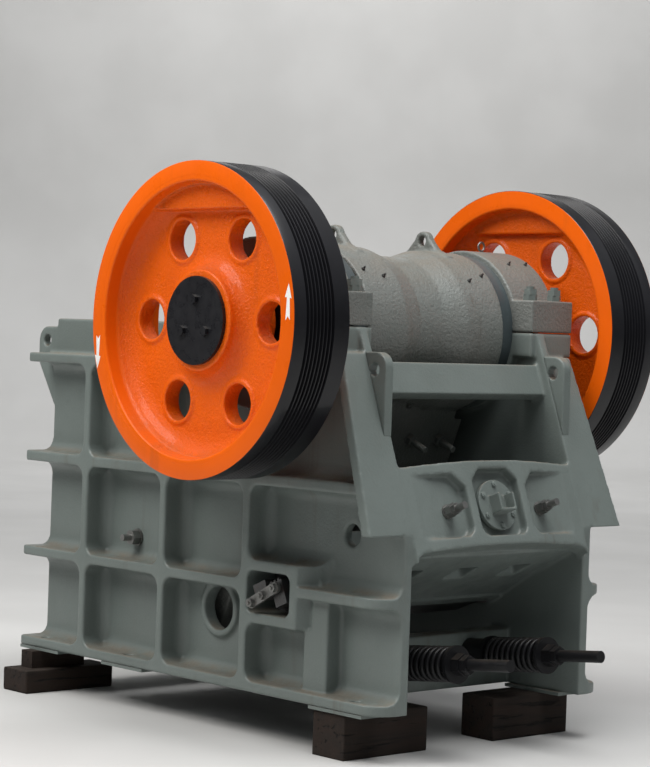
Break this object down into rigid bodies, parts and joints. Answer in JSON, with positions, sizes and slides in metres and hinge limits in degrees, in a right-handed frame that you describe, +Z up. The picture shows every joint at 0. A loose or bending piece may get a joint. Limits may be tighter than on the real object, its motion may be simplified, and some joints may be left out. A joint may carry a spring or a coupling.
{
  "type": "jaw crusher",
  "caption": "Single toggle jaw crusher with a ribbed cast frame, two dished flywheels on an eccentric shaft, toothed jaws, toggle, sprung tension rods, on blocks",
  "frame": {"origin": "on the level floor under the middle of the whole machine, at the underside of the blocks it stands on", "axes": "+X along the machine to its rear, where the tension rods stand out; +Y along the shaft; +Z up"},
  "size_m": [2.888, 2.16, 2.4],
  "materials": {
    "wheel_paint": "orange enamel on cast iron",
    "black_paint": "black enamel",
    "black_steel": "black spring enamel",
    "rough_paint": "grey enamel on rough casting",
    "manganese_steel": "as cast",
    "timber": "dark weathered timber",
    "frame_paint": "grey green enamel on cast steel",
    "painted_bolts": "grey enamel",
    "bare_bolts": "zinc plated",
    "ring_paint": "dark grey enamel, machined",
    "machined_steel": "machined, lightly oiled"
  },
  "bodies": {
    "frame": {"frame_side_left": "frame_paint", "frame_side_right": "frame_paint", "front_wall": "frame_paint", "rear_wall": "frame_paint", "toggle_abutment": "frame_paint", "spring_beam": "frame_paint", "rear_cross_bar": "frame_paint", "rear_lugs": "frame_paint", "front_lugs": "frame_paint", "bearing_cap_left": "rough_paint", "bearing_cap_right": "rough_paint", "cap_nuts": "painted_bolts", "frame_bearing_left": "machined_steel", "frame_bearing_right": "machined_steel", "seal_ring_left": "ring_paint", "seal_ring_right": "ring_paint", "fixed_jaw_plate": "manganese_steel", "cheek_plate_left": "manganese_steel", "cheek_plate_right": "manganese_steel", "toggle_beam": "machined_steel", "shim_pack": "machined_steel", "shim_keepers": "bare_bolts", "toggle_plate": "machined_steel", "panel_cover": "frame_paint", "panel_studs": "bare_bolts", "side_studs": "bare_bolts", "rod_springs": "black_steel", "spring_seats": "black_steel", "foot_pads": "frame_paint", "feed_blocks_lower": "timber", "feed_blocks_upper": "timber", "rear_blocks": "timber"},
    "rotor": {"eccentric_shaft": "machined_steel", "flywheel_left": "wheel_paint", "flywheel_right": "wheel_paint", "end_disc_left": "black_paint", "end_disc_right": "black_paint"},
    "jaw": {"swing_jaw": "rough_paint", "jaw_lugs": "rough_paint", "jaw_bearings": "machined_steel", "swing_jaw_plate": "manganese_steel", "jaw_wedge": "machined_steel", "toggle_seat": "machined_steel", "tension_rods": "black_steel", "rod_nuts": "black_steel"}
  },
  "joints": [
    {"name": "shaft_turn", "type": "hinge", "parent": "frame", "child": "rotor", "pos_m": [0.345, 0, 1.75], "axis": [0, 1, 0], "continuous": true},
    {"name": "jaw_on_eccentric", "type": "hinge", "parent": "rotor", "child": "jaw", "pos_m": [0.345, 0, 1.738], "axis": [0, 1, 0], "continuous": true, "deforming": ["rod_springs"]}
  ],
  "couplings": [
    {"joint": "jaw_on_eccentric", "follows": "shaft_turn", "ratio": -1}
  ]
}
